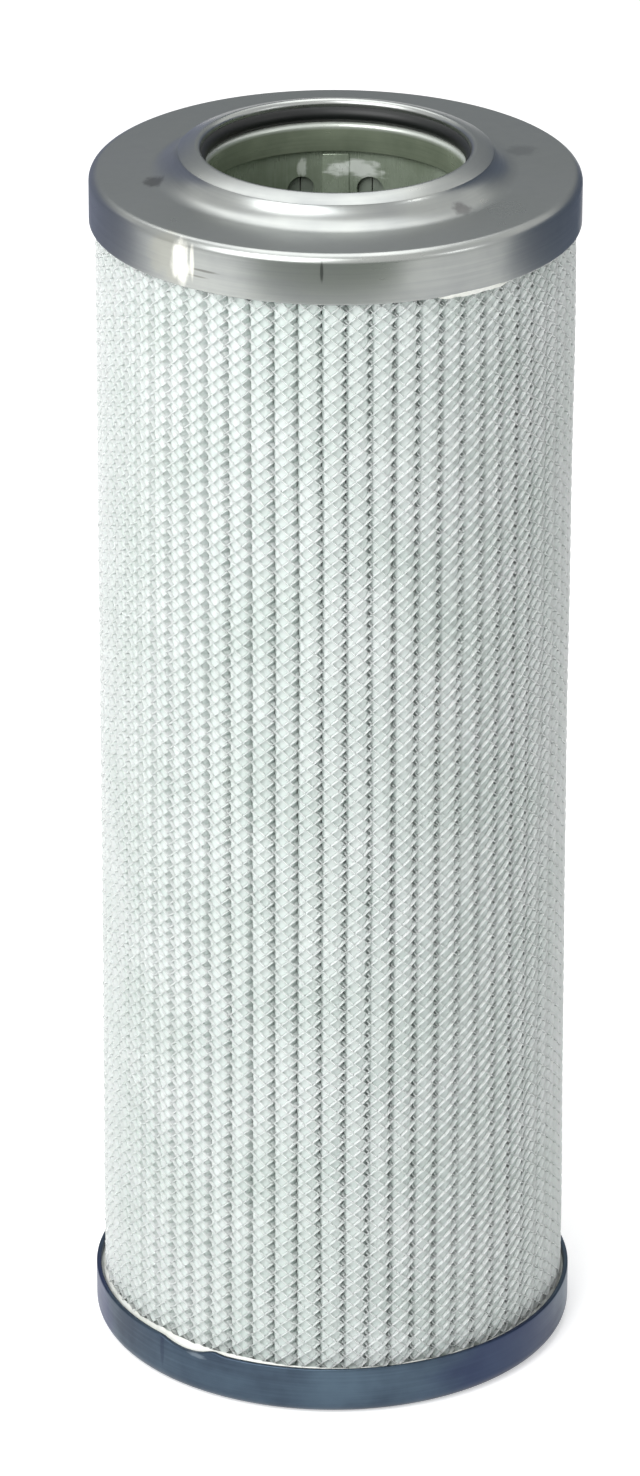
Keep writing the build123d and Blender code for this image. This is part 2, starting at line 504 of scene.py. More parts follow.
@dataclass(frozen=True)
class PlainFinish(Finish):
    """A rubber, polymer, fibre or adhesive: not metal, with soft variation in its colour and a fine relief.

    Attributes:
        name: The material's name.
        pale: Colour of the paler patches.
        deep: Colour of the deeper patches.
        roughness: Its roughness.
        patch: Size of the colour patches, in millimetres.
        grain: Size of the relief's grain, in millimetres.
        relief: Depth of that relief, in millimetres.
        specular: Specular level, 0.5 for most polymers.
        scatter: Share of light that spreads under the surface.
        spread: How far it spreads there, in millimetres.
        tones: The patches' values for the deep colour and for the pale one.
    """

    name: str
    pale: str
    deep: str
    roughness: float
    patch: float = 8.0
    grain: float = 0.5
    relief: float = 0.02
    specular: float = 0.5
    scatter: float = 0.0
    spread: float = 1.2
    tones: Point = (0.35, 0.65)

    def shade(self, add: Adder, place: Feed) -> bpy.types.Node:
        """Builds the nodes up to the shader.

        Args:
            add: Adds a node to the material's tree.
            place: Object coordinates.

        Returns:
            The shader.
        """
        cloud, grain = (
            add(NOISE, inputs={"Vector": place, "Scale": 1 / (size * MM), "Detail": detail})
            for size, detail in ((self.patch, 3.0), (self.grain, 2.0))
        )
        colour = two_tones(add, cloud, self.tones, self.deep, self.pale)[1]
        bump = add("ShaderNodeBump", inputs={"Height": grain, "Distance": self.relief * MM})
        return add("ShaderNodeBsdfPrincipled", inputs={
            "Base Color": colour, "Roughness": self.roughness, "Specular IOR Level": self.specular,
            "Subsurface Weight": self.scatter, "Subsurface Radius": (1.0, 1.0, 1.0),
            "Subsurface Scale": self.spread * MM, "Normal": bump,
        })


# Drawn tinplate: a satin grey skin with soft cloudy stains and faint upright draw lines on its skirt, and a
# painted highlight on the skirt at the front left
TINPLATE = SteelFinish(
    "tinned_drawn_steel", clean="#a7aaa6", dull="#8d9090", roughness=(0.26, 0.36), lay=Lay.ROUND, patch=18,
    relief=0.005,
    marks=(
        Mark((-28.5, -6.0, 202.0), (2.2, 2.8, 2), "#3c3b3c", 0.6),
        Mark((19.5, -19.0, 202.0), (2.4, 2.2, 2), "#3f3a3d", 0.5),
        Mark((29.5, 9.0, 202.0), (3.2, 3.0, 2), "#5d5f62", 0.35),
        Mark((-2.1, -39.0, 199.5), (0.35, 2.0, 2.2), "#3a3c3b", 0.7, 0.2),
        Mark((-20.5, -33.5, 197.5), (3.4, 3.4, 0.25), "#565650", 0.6, 0.3),
        Mark((-21.5, -33.0, 196.4), (2.4, 3.0, 0.2), "#5b5a52", 0.5, 0.3),
        # Painted highlight on the skirt at the front left: a pale patch, its near-white middle and a bright
        # streak
        Mark((-25.6, -29.4, 198.0), (5.5, 6.5, 5.0), "#aaaa9f", 0.5, 0.6),
        Mark((-23.9, -30.8, 198.0), (2.0, 2.8, 4.4), "#f4f4ec", 0.95, 0.45),
        Mark((-22.1, -32.1, 198.6), (0.5, 0.8, 3.6), "#e9e9e0", 0.7, 0.3),
    ),
)
# The blind cap's steel: the top cap's sheet with its colour darkened and tinted blue-grey as painted shade,
# more painted shade on its right side and at its left edge, and a dark streak and a pale spot beside the dent
# in its rim
SHADED_BASE_STEEL = SteelFinish(
    "sheet_steel_in_painted_shade", clean="#50606e", dull="#3b4654", roughness=(0.36, 0.48), lay=Lay.ROUND, patch=12,
    marks=(
        # Painted shade: a dark navy patch over the right side and a dark blue band down the left edge
        Mark((31.0, -25.0, 4.0), (22.0, 22.0, 9.0), "#2e3550", 0.75, 0.3),
        Mark((-39.0, -6.0, 4.0), (6.0, 14.0, 9.0), "#333a60", 0.7, 0.2),
        Mark((-28.0, -28.0, 6.0), (0.6, 0.6, 4.0), "#2c3348", 0.45, 0.2),
        Mark((-22.5, -33.0, 7.2), (2.4, 2.4, 0.5), "#8e99a2", 0.4, 0.4),
    ),
)
# Turned steel of the neck: olive from its oil film, with a painted highlight, a pale band round the top of
# its rounded mouth
OILED_STEEL = SteelFinish(
    "turned_oiled_steel", clean="#8c9682", dull="#687261", roughness=(0.24, 0.36), lay=Lay.ROUND, patch=10,
    line=0.35, metallic=0.35,
    marks=(Mark((0, 0, 202.3), (32, 32, 1.3), "#dfe4df", 0.9, 0.1),),
)
# Perforated core, seen inside the bore: darker and greener than the caps' steel, with an oil film's gleam,
# and two painted glints: pale spots on its back wall, one over the lock seam
CORE_STEEL = SteelFinish(
    "perforated_core_steel", clean="#a2ad9d", dull="#77836f", roughness=(0.22, 0.34), lay=Lay.UPRIGHT,
    patch=9, metallic=0.35,
    marks=(
        Mark((3.4, 21.2, 194.5), (5.8, 2.8, 1.9), "#eef4ee", 0.9, 0.9),
        Mark((-5.4, 20.9, 194.8), (1.0, 2.5, 2.0), "#e4ebe2", 0.8, 0.6),
    ),
)
# Moulded nitrile rubber: near black, with the low sheen of a greased seal
NITRILE = PlainFinish(
    "moulded_nitrile", pale="#0d1110", deep="#080a0a", roughness=0.48, grain=0.3, relief=0.004,
    specular=0.4,
)
# Extruded polymer net: bright white strands that gleam a little where they bend over a crest
NET_POLYMER = PlainFinish(
    "extruded_white_polymer", pale="#dfe4e3", deep="#d3dcd8", roughness=0.5, patch=14, grain=0.8, relief=0.01,
    specular=0.4, scatter=1.0,
)
# The inner net: the outer net's white polymer darkened to grey as painted shade, seen only through the core's
# holes
SHADED_INNER_POLYMER = PlainFinish(
    "white_polymer_in_painted_shade", pale="#868e84", deep="#6b7369", roughness=0.4, patch=6, grain=0.8,
)
# Glass fibre laminated between fleeces: matt off-white with a fine fibrous relief
GLASS_FLEECE = PlainFinish(
    "laminated_glass_fibre", pale="#e6edea", deep="#dae3df", roughness=0.85, patch=10, grain=0.25,
    specular=0.2, scatter=0.6,
)
# Cured two-part adhesive: milky, smooth and lumpy where it was drawn up by the pack
CURED_ADHESIVE = PlainFinish(
    "cured_adhesive", pale="#f1f3ed", deep="#e4e7de", roughness=0.3, patch=5, grain=1.2, relief=0.06,
    scatter=0.3,
)


# --- Steel parts and seal ---


@dataclass
class TopCap:
    """Pressed top cap: skirt, rounded rim, flat face and the collar that hoods the seal."""

    sheet: float = 0.8
    rim_round: float = 1.5
    collar_rise: float = 4.1
    crown_width: float = 3.5
    crown_drop: float = 0.8
    lip_radius: float = 21.3
    lip_round: float = 0.8
    lip_depth: float = 1.5
    undercut: Point = (0.15, 0.12)
    flare_width: float = 4.7
    crease: tuple[Point, Point] = ((0.1, -0.16), (-0.25, 0.04))    # keeps the flare's bend crisp at its top
    crease_trim: float = 4.0       # degrees of the flare's bend that the crease takes
    inner_trim: float = 12.0       # and of its inner face
    rim_inset: float = 0.7
    overflow_arc: Point = (-66.0, -46.0)
    overflow_height: float = 0.55
    overflow_lumps: float = 0.3
    overflow_waves: float = 22.0
    overflow_width: float = 0.9
    overflow_drop: float = 0.05
    reach: Span = field(default_factory=lambda: Span.of("top_end_cap"))

    def outline(self) -> list[Point]:
        """Draws the sheet's closed section, outside first and then back under it.

        Returns:
            Radius and height of each point.
        """
        face = self.reach.top - self.collar_rise
        crease = (self.lip_radius + self.crown_width, face + self.collar_rise - self.crown_drop)
        rim = (self.reach.radius - self.rim_round, face - self.rim_round)
        sweep = 2 * math.atan2(self.collar_rise - self.crown_drop, self.flare_width)
        flare = self.flare_width / math.sin(sweep)
        foot = (crease[0] + self.flare_width, face + flare)
        slope = math.atan2(self.crown_drop, self.crown_width - self.lip_round)
        steep, turn = math.degrees(sweep), math.degrees(slope)
        low = self.sheet / 2
        lip = (self.lip_radius + self.lip_round, self.reach.top - self.lip_round)
        inside = self.sheet / math.cos((sweep - slope) / 2)
        lean = (sweep + slope) / 2
        return [
            *arc((self.reach.radius - low / 2, self.reach.base + low / 2), low / 2, -90, 90, 4),
            *arc(rim, self.rim_round, 0, 90, 12),
            *arc(foot, flare, 270, -steep + self.crease_trim, 16),
            *((crease[0] + across, crease[1] + up) for across, up in self.crease),
            *arc(lip, self.lip_round, 90 - turn, 90 + turn, 10),
            (self.lip_radius, self.reach.top - self.lip_depth),
            (self.lip_radius + self.undercut[0], self.reach.top - self.lip_depth - self.undercut[1]),
            (crease[0] - inside * math.sin(lean), crease[1] - inside * math.cos(lean)),
            *arc(foot, flare + self.sheet, 270 - steep + self.inner_trim, steep - self.inner_trim, 10),
            (self.reach.radius - self.sheet - self.rim_inset, face - self.sheet),
            *arc(rim, self.rim_round - self.sheet, 90, -90, 6),
            (self.reach.radius - self.sheet, self.reach.base + low / 2),
            (self.reach.radius - self.sheet + low / 2, self.reach.base),
        ]

    def overflow(self) -> bpy.types.Mesh:
        """Makes a thin, uneven run of adhesive under the skirt's edge.

        Returns:
            Its mesh.
        """
        def half_height(angle: float) -> float:
            """Half the run's height at an angle, with lumps."""
            lumps = noise.noise(Vector((angle * self.overflow_waves, 3.1, 0.0)))
            return self.overflow_height + self.overflow_lumps * lumps

        start, stop = (math.radians(angle) for angle in self.overflow_arc)
        return bead(
            "skirt_overflow", self.reach.radius - self.sheet / 2, start, stop, half_height,
            self.reach.base - self.overflow_drop, self.overflow_width / 2,
        )

    def build(self) -> None:
        """Makes the cap and the run of adhesive."""
        cap = add_object(lathe("top_cap_pressing", self.outline()), TINPLATE)
        hand_over(cap, "tinned_steel", "top_end_cap")
        hand_over(add_object(self.overflow(), CURED_ADHESIVE), "adhesive")


def bead(
    name: str, radius: float, start: float, stop: float, half_height: Callable[[float], float], level: float,
    half_width: float, sides: int = 12, pitch: float = 0.45, taper: float = 6.0, tip: float = 0.05,
) -> bpy.types.Mesh:
    """Makes a lumpy bead along part of a circle, or all of it.

    Args:
        name: The mesh's name.
        radius: Radius of the circle, in millimetres.
        start: First angle, in radians.
        stop: Last angle; a full turn after the first closes the ring.
        half_height: Gives half the bead's height at an angle, in millimetres.
        level: Height of the bead's middle.
        half_width: Half the bead's width across the circle.
        sides: Points round its section.
        pitch: Length of its steps, in millimetres.
        taper: An open bead thins over one part in this many at each end.
        tip: Share of its size that is left at its ends.

    Returns:
        A closed mesh.
    """
    ring = stop - start > math.tau - 0.001
    steps = max(24, int((stop - start) * radius / pitch))
    shell = bmesh.new()
    hoops = []
    for step in range(steps if ring else steps + 1):
        angle = start + (stop - start) * step / steps
        ends = 1.0 if ring else min(1.0, taper * step / steps, taper * (steps - step) / steps) ** 0.5
        tall, wide = half_height(angle) * max(ends, tip), half_width * max(ends, tip)
        turns = (side * math.tau / sides for side in range(sides))
        hoops.append([
            shell.verts.new(polar(radius + wide * math.cos(turn), angle, level + tall * math.sin(turn)))
            for turn in turns
        ])
    for hoop, following in zip(hoops, hoops[1:] + hoops[:1] if ring else hoops[1:]):
        stitch(shell, hoop, following)
    if not ring:
        shell.faces.new(hoops[0])
        shell.faces.new(hoops[-1])
    return keep(name, shell, sharp=60)


@dataclass
class SealSeat:
    """Turned ring with the neck bore and the groove floor, and the seal that lies on it."""

    bore: float = 20.6
    wall: float = 1.0
    flange: float = 0.8
    flange_width: float = 4.6
    mouth_round: float = 0.75
    end_round: float = 0.3
    groove_rise: float = 1.2
    reach: Span = field(default_factory=lambda: Span.of("seal_seat_ring"))
    seal: Span = field(default_factory=lambda: Span.of("o_ring"))

    def outline(self) -> list[Point]:
        """Draws the ring's closed section, up the bore and down the outside.

        Returns:
            Radius and height of each point.
        """
        floor = self.reach.top
        weld_top = floor - self.groove_rise
        weld_under = weld_top - self.flange
        shoulder = self.reach.radius - self.flange_width
        outside = self.bore + self.wall
        return [
            *arc((self.bore + self.end_round, self.reach.base + self.end_round), self.end_round, 270, -90, 5),
            *arc((self.bore + self.mouth_round, floor - self.mouth_round), self.mouth_round, 180, -90, 10),
            (shoulder - self.groove_rise, floor),
            (shoulder, weld_top),
            (self.reach.radius, weld_top),
            (self.reach.radius, weld_under),
            (outside, weld_under),
            (outside, self.reach.base),
        ]

    def torus(self) -> list[Point]:
        """The seal's round section."""
        half = (self.seal.top - self.seal.base) / 2
        centre = (self.seal.radius - half, self.seal.base + half)
        return arc(centre, half, 0, 360, 28)[:-1]

    def build(self) -> None:
        """Makes the ring and its seal."""
        ring = add_object(lathe("seal_seat_turning", self.outline()), OILED_STEEL)
        hand_over(ring, "seat_steel", "seal_seat_ring")
        seal = add_object(lathe("round_section_seal", self.torus()), NITRILE)
        hand_over(seal, "nitrile", "o_ring")


@dataclass
class CoreTube:
    """Perforated tube inside the pack, with a lock seam."""

    wall: float = 0.8
    outer: float = 22.45
    hole: float = 4.6
    hole_sides: int = 24
    around: int = 12
    rows: int = 6
    margin: float = 9.5
    seam_width: float = 4.4
    seam_thickness: float = 0.4
    seam_gap: float = 3.4
    seam_round: float = 0.25
    reach: Span = field(default_factory=lambda: Span.of("core_tube"))

    def tree(self) -> bpy.types.GeometryNodeTree:
        """Cuts staggered rows of round holes in the tube that comes in.

        Returns:
            The tree that does it.
        """
        tree = new_geometry_tree("staggered_perforation", {
            "Int": ("Around", "Rows"), "Float": ("Radius", "Hole", "Row Pitch", "First Row"),
            "Material": ("Steel",),
        })
        add = partial(add_node, tree)
        given = add("NodeGroupInput").outputs
        count = add(MATH, "MULTIPLY", (given["Around"], given["Rows"]))
        places = add("GeometryNodeMeshLine", inputs={"Count": count})
        number = add("GeometryNodeInputIndex")
        row = add(MATH, "FLOOR", (add(MATH, "DIVIDE", (number, given["Around"])),))
        column = add(MATH, "ADD", (number, add(MATH, "DIVIDE", (row, 2.0))))
        step = add(MATH, "DIVIDE", (math.tau, given["Around"]))
        angle = add(MATH, "MULTIPLY", (column, step))
        height = add(MATH, "MULTIPLY_ADD", (row, given["Row Pitch"], given["First Row"]))
        level = add(JOIN_XYZ, inputs={"X": given["Radius"], "Z": height})
        turned = add("ShaderNodeVectorRotate", {"rotation_type": "Z_AXIS"}, {"Vector": level, "Angle": angle})
        placed = add(SET_PLACE, inputs={"Geometry": places, "Position": turned})
        bore = add(MATH, "DIVIDE", (given["Hole"], 2.0))
        punch = add("GeometryNodeMeshCylinder", inputs={
            "Vertices": self.hole_sides, "Radius": bore, "Depth": 4 * self.wall * MM,
        })
        aim = add(JOIN_XYZ, inputs={"Y": math.pi / 2, "Z": angle})
        punches = add("GeometryNodeInstanceOnPoints", inputs={
            "Points": placed, "Instance": punch, "Rotation": aim,
        })
        cut = add("GeometryNodeMeshBoolean", {"operation": "DIFFERENCE", "solver": "EXACT"}, {
            "Mesh 1": given["Geometry"], "Mesh 2": add(MAKE_REAL, inputs=(punches,)),
        })
        real = add(MAKE_REAL, inputs=(cut,))
        dressed = add("GeometryNodeSetMaterial", inputs={"Geometry": real, "Material": given["Steel"]})
        add("NodeGroupOutput", inputs=(dressed,))
        return tree

    def seam(self) -> bpy.types.Mesh:
        """Folds the strip that joins the sheet's two edges, inside at the back.

        Returns:
            Its mesh.
        """
        inner = self.outer - self.wall
        top = self.reach.top - self.seam_gap
        shell = bmesh.new()
        box = bmesh.ops.create_cube(shell, size=1.0)["verts"]
        size = (self.seam_width, 2 * self.seam_thickness, top - self.reach.base)
        bmesh.ops.scale(shell, vec=[part * MM for part in size], verts=box)
        bmesh.ops.translate(shell, vec=(0, inner * MM, (top + self.reach.base) / 2 * MM), verts=box)
        bmesh.ops.bevel(
            shell, geom=shell.edges, offset=self.seam_round * MM, segments=3, affect="EDGES", profile=0.5
        )
        return keep("core_lock_seam", shell)

    def build(self) -> None:
        """Makes the perforated tube and its seam."""
        inner, low, high = self.outer - self.wall, self.reach.base, self.reach.top
        wall = [(inner, low), (self.outer, low), (self.outer, high), (inner, high)]
        tube = add_object(lathe("perforated_core", wall, segments=192))
        settle(tube, self.tree(), {
            "Radius": (self.outer - self.wall / 2) * MM, "Hole": self.hole * MM, "Around": self.around,
            "Rows": self.rows, "Row Pitch": (high - low - 2 * self.margin) / (self.rows - 1) * MM,
            "First Row": (low + self.margin) * MM, "Steel": CORE_STEEL.material(),
        })
        hand_over(tube, "core_steel", "core_tube")
        hand_over(add_object(self.seam(), CORE_STEEL), "core_steel", "core_tube")


@dataclass
class BottomCap:
    """Blind pressed cup with the knock in its rim, and the adhesive drawn up inside it."""

    sheet: float = 0.8
    edge_round: float = 2.3
    lip_round: float = 0.25
    hub: float = 12.0              # the floor's flat middle
    wall_rings: tuple[float, ...] = (0.25, 0.5, 0.7, 0.85)
    dent_angle: float = -128.5
    dent_depth: float = 1.0
    dent_radius: float = 12.0
    dent_bulge: float = 0.14       # how far the wall below the dent swells
    dent_reach: float = 4.0
    dent_push: float = 0.25        # how far the rim gives inwards, as a share of the dent
    dent_wall: float = 2.0         # the dent takes the wall and leaves what lies further in
    step_rise: float = 0.35        # the lifted step beside the dent
    step_place: float = 6.2
    step_reach: float = 1.1
    bead_width: float = 1.5
    bead_drop: float = 3.1         # from the rim to the bead's middle
    bead_gap: float = 0.35         # from the pack to the bead's middle
    bead_rise: float = 2.45
    bead_wave: float = 0.25
    bead_rate: float = 9.0         # how fast its waves follow each other
    heap_rise: float = 0.85        # where most adhesive was drawn up
    heap_angle: float = -140.0
    heap_reach: float = 0.75       # radians
    heap_lumps: float = 0.45
    heap_rate: float = 32.0
    reach: Span = field(default_factory=lambda: Span.of("bottom_end_cap"))
    pack: Span = field(default_factory=lambda: Span.of("outer_support_net"))

    def outline(self) -> list[Point]:
        """Draws the cup's closed section, from the middle of the floor.

        Returns:
            Radius and height of each point.
        """
        inside = self.reach.radius - self.sheet
        edge = (self.reach.radius - self.edge_round, self.edge_round)
        lip = self.reach.top - self.lip_round
        wall = self.reach.top - self.edge_round
        walls = [self.edge_round + wall * share for share in self.wall_rings]
        return [
            (0, 0),
            (self.hub, 0),
            *arc(edge, self.edge_round, 270, 90, 12),
            *((self.reach.radius, height) for height in walls),
            *arc((self.reach.radius - self.lip_round, lip), self.lip_round, 0, 90, 4),
            *arc((inside + self.lip_round, lip), self.lip_round, 90, 90, 4),
            *((inside, height) for height in reversed(walls)),
            *arc(edge, self.edge_round - self.sheet, 0, -90, 6),
            (self.hub, self.sheet),
            (0, self.sheet),
        ]

    def knock(self, mesh: bpy.types.Mesh) -> None:
        """Presses the dent in the rim and lets the sheet below it swell outwards.

        Args:
            mesh: The cup's mesh, changed in place.
        """
        aim = math.radians(self.dent_angle)
        for vertex in mesh.vertices:
            height = vertex.co.z / MM
            radius = math.hypot(vertex.co.x, vertex.co.y) / MM
            if radius < self.reach.radius - self.dent_wall or height < self.edge_round:
                continue
            turn = math.atan2(vertex.co.y, vertex.co.x) - aim
            along = math.remainder(turn, math.tau) * self.reach.radius
            rise = (height - self.edge_round) / (self.reach.top - self.edge_round)
            chord = math.sqrt(max(0.0, self.dent_radius**2 - along**2))
            fall = max(0.0, self.dent_depth - self.dent_radius + chord)
            step = self.step_rise * math.exp(-(((along - self.step_place) / self.step_reach) ** 2)) * rise**4
            swell = self.dent_bulge * math.exp(-((along / self.dent_reach) ** 2)) * math.sin(math.pi * rise)
            vertex.co.z += (step - fall * rise**3) * MM
            outward = Vector((vertex.co.x, vertex.co.y, 0)).normalized()
            vertex.co += outward * (swell - self.dent_push * fall * rise**2) * MM

    def bead_height(self, angle: float) -> float:
        """Half the height of the drawn-up adhesive: more at the front left, with waves and lumps.

        Args:
            angle: Angle round the axis, in radians.

        Returns:
            Half the height, in millimetres.
        """
        waves, lumps = (
            noise.noise(Vector((math.cos(angle) * rate, math.sin(angle) * rate, row)))
            for rate, row in ((self.bead_rate, 4.0), (self.heap_rate, 1.0))
        )
        away = math.remainder(angle - math.radians(self.heap_angle), math.tau)
        heap = self.heap_rise * math.exp(-((away / self.heap_reach) ** 2))
        return self.bead_rise + self.bead_wave * waves + heap * (1 + self.heap_lumps * lumps)

    def build(self) -> None:
        """Makes the cup and the bead."""
        cup = lathe("bottom_cap_pressing", self.outline(), segments=360)
        self.knock(cup)
        # Its steel is darkened and tinted blue-grey as painted shade
        hand_over(add_object(cup, SHADED_BASE_STEEL), "base_steel", "bottom_end_cap")
        run = bead(
            "potting_bead", self.pack.radius + self.bead_gap, 0.0, math.tau, self.bead_height,
            self.reach.top - self.bead_drop, self.bead_width / 2,
        )
        hand_over(add_object(run, CURED_ADHESIVE), "adhesive")


# --- Pleated pack ---


@dataclass
class StrandTree:
    """Builds the tree that lays two crossed layers of strands over a run of crests.

    Its own names for what the steps share are tree, add, which adds a node to it, given, its inputs,
    here, the parts of a point's place, and half, half the length of a crest's round.
    """

    strand_steps: int = 7          # along one strand: one past each valley, and the rest over the crest
    spare: float = 5.0             # strands more than fill the height, as the leaning ones leave corners
    top_width: float = 0.94        # a strand's edges are eased
    layer_gap: float = 0.42        # in strand thicknesses, each way from the middle
    slack: float = 0.06            # unevenness of the strands, in pitches
    sharp: float = 35.0            # degrees, from which an edge stays crisp

    def __post_init__(self) -> None:
        """Makes the tree."""
        self.tree = new_geometry_tree("crossed_strands", {
            "Int": ("First Pleat", "Pleats", "Seed"),
            "Float": (
                "Pleat Angle", "Pack Turn", "Crest Radius", "Crest Centre", "Crest Turn", "Flank", "Base",
                "Top", "Pitch", "Width", "Thickness", "Lean", "Climb",
            ),
            "Material": ("Net",),
        })
        add = self.add = partial(add_node, self.tree)
        given = self.given = add("NodeGroupInput").outputs
        self.here = add(SPLIT_XYZ, inputs=(add("GeometryNodeInputPosition"),)).outputs
        self.half = add(MATH, "MULTIPLY", (given["Crest Radius"], given["Crest Turn"]))
        height = add(MATH, "SUBTRACT", (given["Top"], given["Base"]))
        count = add(MATH, "ADD", (add(MATH, "DIVIDE", (height, given["Pitch"])), self.spare))
        step = add(JOIN_XYZ, inputs={"Z": given["Pitch"]})
        low = add(MATH, "MULTIPLY_ADD", (given["Pitch"], -self.spare / 2, given["Base"]))
        column = add("GeometryNodeMeshLine", inputs={
            "Count": count, "Start Location": add(JOIN_XYZ, inputs={"Z": low}), "Offset": step,
        })
        strip = self.strip()
        both = add("GeometryNodeJoinGeometry")
        for side in (1, -1):
            self.tree.links.new(self.layer(strip, column, side).outputs[0], both.inputs[0])
        placed = self.repeat(self.wrap(both))
        smooth = add("GeometryNodeSetShadeSmooth", inputs=(placed,))
        fold = add("GeometryNodeInputMeshEdgeAngle").outputs["Unsigned Angle"]
        hard = add("FunctionNodeCompare", "GREATER_THAN", (fold, math.radians(self.sharp)))
        crisp = add("GeometryNodeSetShadeSmooth", {"domain": "EDGE"}, {
            "Geometry": smooth, "Selection": hard, "Shade Smooth": False,
        })
        dressed = add("GeometryNodeSetMaterial", inputs={"Geometry": crisp, "Material": given["Net"]})
        add("NodeGroupOutput", inputs=(dressed,))

    def strip(self) -> bpy.types.Node:
        """Lays one strand out flat: fine steps over the crest and one short step past each valley.

        Returns:
            The node that gives it.
        """
        add, given = self.add, self.given
        end = self.strand_steps / 2
        line = add("GeometryNodeCurvePrimitiveLine", inputs={"Start": (-end, 0, 0), "End": (end, 0, 0)})
        cut = add("GeometryNodeResampleCurve", inputs={"Curve": line, "Count": self.strand_steps + 1})
        inner = add("ShaderNodeClamp", inputs={"Value": self.here["X"], "Min": 1 - end, "Max": end - 1})
        beyond = add(MATH, "SUBTRACT", (self.here["X"], inner))
        over = add(MATH, "DIVIDE", (self.half, end - 1))
        crest = add(MATH, "MULTIPLY", (inner, over))
        along = add(MATH, "MULTIPLY_ADD", (beyond, given["Flank"], crest))
        spread = add(JOIN_XYZ, inputs={"X": along})
        laid = add(SET_PLACE, inputs={"Geometry": cut, "Position": spread})
        narrow = add(MATH, "MULTIPLY", (given["Width"], self.top_width))
        section = add("GeometryNodeCurvePrimitiveQuadrilateral", {"mode": "TRAPEZOID"}, {
            "Height": given["Thickness"], "Bottom Width": given["Width"], "Top Width": narrow, "Offset": 0.0,
        })
        return add("GeometryNodeCurveToMesh", inputs={
            "Curve": laid, "Profile Curve": section, "Fill Caps": True,
        })

    def layer(self, strip: Feed, column: Feed, side: int) -> bpy.types.Node:
        """Stacks strands up one pleat and leans them all one way.

        Args:
            strip: One strand.
            column: The points that strands start from.
            side: 1 for the outer layer, -1 for the one under it, which leans the other way.

        Returns:
            The node that gives the layer, still flat.
        """
        add, given = self.add, self.given
        stacked = add("GeometryNodeInstanceOnPoints", inputs={"Points": column, "Instance": strip})
        way = add(MATH, "MULTIPLY", (add(MATH, "TANGENT", (given["Lean"],)), side))
        climb = add(MATH, "MULTIPLY", (self.here["X"], way))
        if side < 0:
            climb = add(MATH, "MULTIPLY_ADD", (given["Pitch"], given["Climb"], climb))
        level = add(MATH, "MULTIPLY", (given["Thickness"], self.layer_gap * side))
        return add(SET_PLACE, inputs={
            "Geometry": add(MAKE_REAL, inputs=(stacked,)),
            "Offset": add(JOIN_XYZ, inputs={"Y": level, "Z": climb}),
        })

    def wrap(self, flat: Feed) -> bpy.types.Node:
        """Bends the flat layers over one crest, which faces +X.

        Args:
            flat: The flat layers.

        Returns:
            The node that gives them bent.
        """
        add, given = self.add, self.given
        least = add(MATH, "MULTIPLY", (self.half, -1.0))
        on_round = add("ShaderNodeClamp", inputs={"Value": self.here["X"], "Min": least, "Max": self.half})
        on_flank = add(MATH, "SUBTRACT", (self.here["X"], on_round))
        angle = add(MATH, "DIVIDE", (on_round, given["Crest Radius"]))
        reach = add(MATH, "ADD", (self.here["Y"], given["Crest Radius"]))
        before = add(JOIN_XYZ, inputs={"X": reach, "Y": on_flank, "Z": self.here["Z"]})
        bent = add("ShaderNodeVectorRotate", {"rotation_type": "Z_AXIS"}, {"Vector": before, "Angle": angle})
        centre = add(JOIN_XYZ, inputs={"X": given["Crest Centre"]})
        moved = add(VECTOR_MATH, "ADD", (bent, centre))
        return add(SET_PLACE, inputs={"Geometry": flat, "Position": moved})

    def repeat(self, crest: Feed) -> bpy.types.Node:
        """Repeats the dressed crest round the axis, shifts each one's strands and trims the ends.

        Args:
            crest: The strands of one pleat.

        Returns:
            The node that gives the strands of all this run's pleats, as real geometry.
        """
        add, given = self.add, self.given
        marks = add("GeometryNodeMeshLine", inputs={"Count": given["Pleats"], "Offset": (0, 0, 0)})
        number = add(MATH, "ADD", (add("GeometryNodeInputIndex"), given["First Pleat"]))
        drift = add(MATH, "FRACT", (add(MATH, "MULTIPLY", (number, given["Climb"])),))
        uneven = add("FunctionNodeRandomValue", {"data_type": "FLOAT"}, {
            "Min": -self.slack, "Max": self.slack, "ID": number, "Seed": given["Seed"],
        }).outputs["Value"]
        lift = add(MATH, "MULTIPLY", (add(MATH, "ADD", (drift, uneven)), given["Pitch"]))
        raised = add(SET_PLACE, inputs={"Geometry": marks, "Offset": add(JOIN_XYZ, inputs={"Z": lift})})
        angle = add(MATH, "MULTIPLY_ADD", (number, given["Pleat Angle"], given["Pack Turn"]))
        around = add("GeometryNodeInstanceOnPoints", inputs={
            "Points": raised, "Instance": crest, "Rotation": add(JOIN_XYZ, inputs={"Z": angle}),
        })
        held = add("ShaderNodeClamp", inputs={
            "Value": self.here["Z"], "Min": given["Base"], "Max": given["Top"],
        })
        back = add(JOIN_XYZ, inputs={"X": self.here["X"], "Y": self.here["Y"], "Z": held})
        return add(SET_PLACE, inputs={"Geometry": add(MAKE_REAL, inputs=(around,)), "Position": back})


